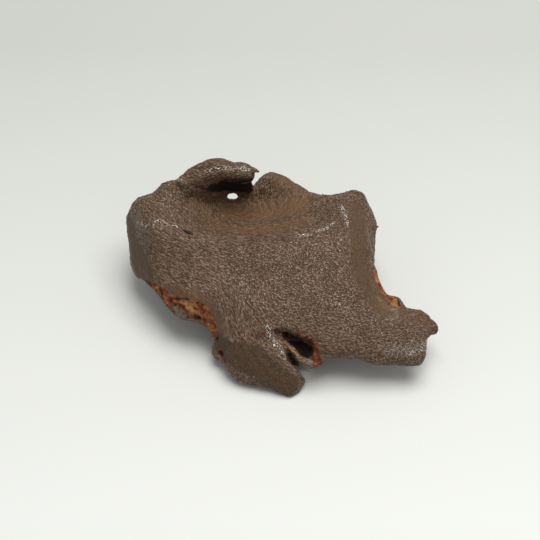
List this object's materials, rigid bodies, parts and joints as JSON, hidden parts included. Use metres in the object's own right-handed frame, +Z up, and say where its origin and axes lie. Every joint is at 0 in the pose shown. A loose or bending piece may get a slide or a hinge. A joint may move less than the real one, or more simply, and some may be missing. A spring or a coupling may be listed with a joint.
{
  "type": "iron meteorite",
  "caption": "Torn and bent plate of iron meteorite with a scooped back, a curled lip, a prong and a tear, standing on feet under it.",
  "frame": {"origin": "middle of the bounding box's base, on the surface that it rests on", "axes": "+Z up as it rests, +X along its longest side from the left end to the right lobe, -Y towards the prong, the side that the picture was taken from"},
  "size_m": [0.0752, 0.0546, 0.0302],
  "materials": {
    "iron": "satin brown weathered crust, grained like orange peel, with rust in the torn edges"
  },
  "bodies": {
    "root": {"meteorite": "iron"}
  },
  "joints": []
}
